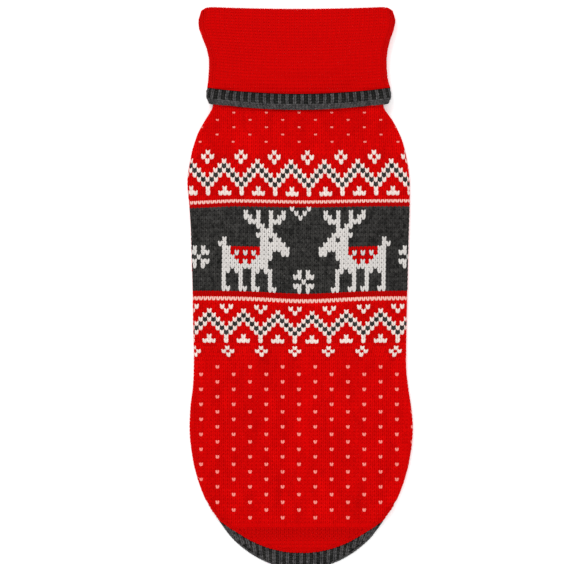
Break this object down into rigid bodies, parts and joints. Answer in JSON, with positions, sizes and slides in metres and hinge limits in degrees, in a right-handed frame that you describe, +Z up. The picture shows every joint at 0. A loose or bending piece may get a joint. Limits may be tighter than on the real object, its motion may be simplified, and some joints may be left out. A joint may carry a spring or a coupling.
{
  "type": "dog sweater",
  "caption": "Knitted turtleneck sweater for a dog, laid flat on its belly side with the rib collar turned down and a rounded tail hem.",
  "frame": {"origin": "centre of the sweater's outline, on the surface that it lies on", "axes": "+X across the sweater, +Y from the tail towards the collar, +Z up through the cloth, the back of the sweater facing up"},
  "size_m": [0.1979, 0.4926, 0.0124],
  "materials": {
    "jacquard_knit": "matte wool-blend jacquard knit in red, cream and charcoal",
    "red_knit": "matte plain red knit",
    "red_rib": "matte fine red rib knit",
    "charcoal_rib": "matte charcoal heather rib knit"
  },
  "bodies": {
    "root": {"back_panel": "jacquard_knit", "tail_rib": "red_rib", "hem_band_back": "charcoal_rib", "belly_panel": "red_knit", "hem_band_belly": "charcoal_rib", "leg_band_left": "charcoal_rib", "leg_band_right": "charcoal_rib", "collar": "red_rib", "collar_edge_band": "charcoal_rib"}
  },
  "joints": []
}
